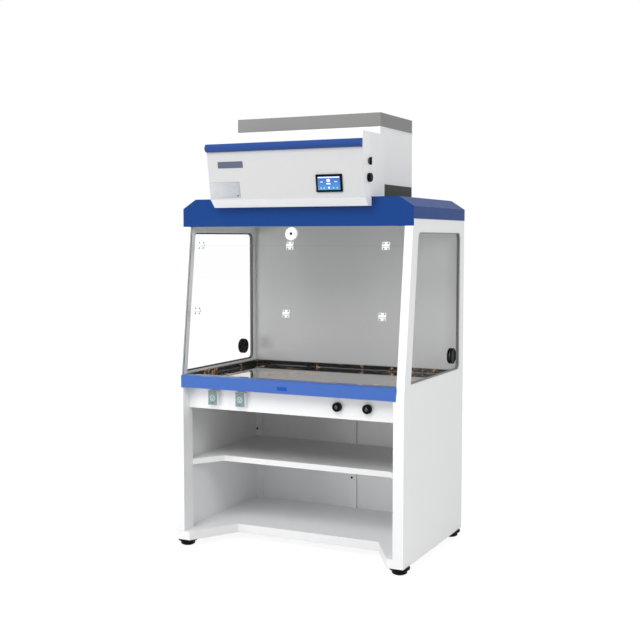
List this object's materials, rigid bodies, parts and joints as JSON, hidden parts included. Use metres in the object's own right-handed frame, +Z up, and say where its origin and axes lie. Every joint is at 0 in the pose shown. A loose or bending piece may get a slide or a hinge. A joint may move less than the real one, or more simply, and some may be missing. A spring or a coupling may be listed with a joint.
{
  "type": "ductless fume hood",
  "caption": "Floor-standing ductless fume hood: glazed chamber with a folding front window over an open cabinet with shelf, filter and fan head on a blue canopy.",
  "frame": {"origin": "middle of the overall bounding box, on the floor under the feet", "axes": "+Z up, -Y towards the person at the hood, +X to that person's right"},
  "size_m": [1.22, 0.84, 2.089],
  "materials": {
    "white_paint": "satin powder coat",
    "blue_paint": "satin powder coat",
    "grey_paint": "satin powder coat",
    "charcoal_paint": "matt powder coat",
    "glass": "clear",
    "white_plastic": "moulded",
    "black_plastic": "moulded",
    "grey_plastic": "moulded",
    "gasket_rubber": "extruded",
    "worktop_resin": "polished",
    "zinc_steel": "zinc plated",
    "valve_brass": "turned",
    "cast_aluminium": "as cast",
    "fan_steel": "pressed",
    "filter_paper": "pleated",
    "filter_carbon": "granules behind mesh",
    "circuit_board": "solder mask"
  },
  "bodies": {
    "cabinet": {"base_tray": "white_paint", "side_panel_left": "white_paint", "side_panel_right": "white_paint", "lower_post_left": "white_paint", "lower_post_right": "white_paint", "upper_post_left": "white_paint", "upper_post_right": "white_paint", "outer_back": "white_paint", "lower_back_panel": "white_paint", "back_liner": "white_paint", "shelf": "white_paint", "shelf_brackets": "white_paint", "worktop_rails": "white_paint", "apron": "white_paint", "ceiling_panel": "white_paint", "filter_box": "white_paint", "control_box": "white_paint", "front_strip": "blue_paint", "canopy": "blue_paint", "exhaust_cap": "grey_paint", "collar": "charcoal_paint", "side_window_left": "glass", "side_window_right": "glass", "sash_fixed_pane": "glass", "hinge_leaves_fixed": "white_plastic", "air_sensor": "white_plastic", "lamp": "white_plastic", "cable_ports": "black_plastic", "power_inlet": "black_plastic", "socket_boxes": "grey_plastic", "window_gaskets": "gasket_rubber", "worktop": "worktop_resin", "door_hinge_fixed": "zinc_steel", "fan_deck": "zinc_steel", "valves": "valve_brass", "fan_motor": "cast_aluminium", "power_supply": "cast_aluminium", "prefilter": "cast_aluminium", "fine_filter": "filter_paper", "carbon_filter": "filter_carbon", "control_board": "circuit_board"},
    "middle_pane": {"sash_middle_pane": "glass", "hinge_leaves_middle": "white_plastic"},
    "lower_pane": {"sash_lower_pane": "glass", "hinge_leaves_lower": "white_plastic"},
    "head_door": {"head_door": "white_paint", "touch_screen": "black_plastic", "door_grip": "blue_paint", "door_hinge_leaves": "zinc_steel"},
    "door_lock": {"door_lock": "zinc_steel"},
    "door_latch": {"door_latch": "black_plastic"},
    "fan": {"fan_impeller": "fan_steel"},
    "socket_cover_1": {"socket_cover_1": "grey_plastic"},
    "socket_cover_2": {"socket_cover_2": "grey_plastic"},
    "valve_knob_1": {"valve_knob_1": "black_plastic"},
    "valve_knob_2": {"valve_knob_2": "black_plastic"},
    "foot_front_left": {"foot_front_left": "black_plastic"},
    "foot_front_right": {"foot_front_right": "black_plastic"},
    "foot_rear_left": {"foot_rear_left": "black_plastic"},
    "foot_rear_right": {"foot_rear_right": "black_plastic"}
  },
  "joints": [
    {"name": "sash_upper_fold", "type": "hinge", "parent": "cabinet", "child": "middle_pane", "pos_m": [0, -0.30085, 1.47656], "axis": [-1, 0, 0], "range_deg": [0, 85]},
    {"name": "sash_lower_fold", "type": "hinge", "parent": "middle_pane", "child": "lower_pane", "pos_m": [0, -0.34106, 1.16056], "axis": [-1, 0, 0], "range_deg": [0, 175]},
    {"name": "head_door_hinge", "type": "hinge", "parent": "cabinet", "child": "head_door", "pos_m": [-0.4043, -0.3055, 1.835], "axis": [0, 0, -1], "range_deg": [0, 100]},
    {"name": "door_lock_turn", "type": "hinge", "parent": "head_door", "child": "door_lock", "pos_m": [0.4, -0.329, 1.854], "axis": [1, 0, 0], "range_deg": [0, 90]},
    {"name": "door_latch_turn", "type": "hinge", "parent": "head_door", "child": "door_latch", "pos_m": [0.4, -0.329, 1.781], "axis": [1, 0, 0], "range_deg": [0, 90]},
    {"name": "fan_spin", "type": "hinge", "parent": "cabinet", "child": "fan", "pos_m": [0, 0.0595, 1.934], "axis": [0, 0, 1], "continuous": true},
    {"name": "socket_cover_1_hinge", "type": "hinge", "parent": "cabinet", "child": "socket_cover_1", "pos_m": [-0.401, -0.3613, 0.7735], "axis": [-1, 0, 0], "range_deg": [0, 90]},
    {"name": "socket_cover_2_hinge", "type": "hinge", "parent": "cabinet", "child": "socket_cover_2", "pos_m": [-0.25, -0.3613, 0.7735], "axis": [-1, 0, 0], "range_deg": [0, 90]},
    {"name": "valve_knob_1_turn", "type": "hinge", "parent": "cabinet", "child": "valve_knob_1", "pos_m": [0.2535, -0.3573, 0.74], "axis": [0, -1, 0], "range_deg": [0, 270]},
    {"name": "valve_knob_2_turn", "type": "hinge", "parent": "cabinet", "child": "valve_knob_2", "pos_m": [0.4035, -0.3573, 0.74], "axis": [0, -1, 0], "range_deg": [0, 270]},
    {"name": "foot_front_left_turn", "type": "hinge", "parent": "cabinet", "child": "foot_front_left", "pos_m": [-0.562, -0.339, 0], "axis": [0, 0, 1], "continuous": true},
    {"name": "foot_front_right_turn", "type": "hinge", "parent": "cabinet", "child": "foot_front_right", "pos_m": [0.562, -0.339, 0], "axis": [0, 0, 1], "continuous": true},
    {"name": "foot_rear_left_turn", "type": "hinge", "parent": "cabinet", "child": "foot_rear_left", "pos_m": [-0.562, 0.367, 0], "axis": [0, 0, 1], "continuous": true},
    {"name": "foot_rear_right_turn", "type": "hinge", "parent": "cabinet", "child": "foot_rear_right", "pos_m": [0.562, 0.367, 0], "axis": [0, 0, 1], "continuous": true}
  ]
}
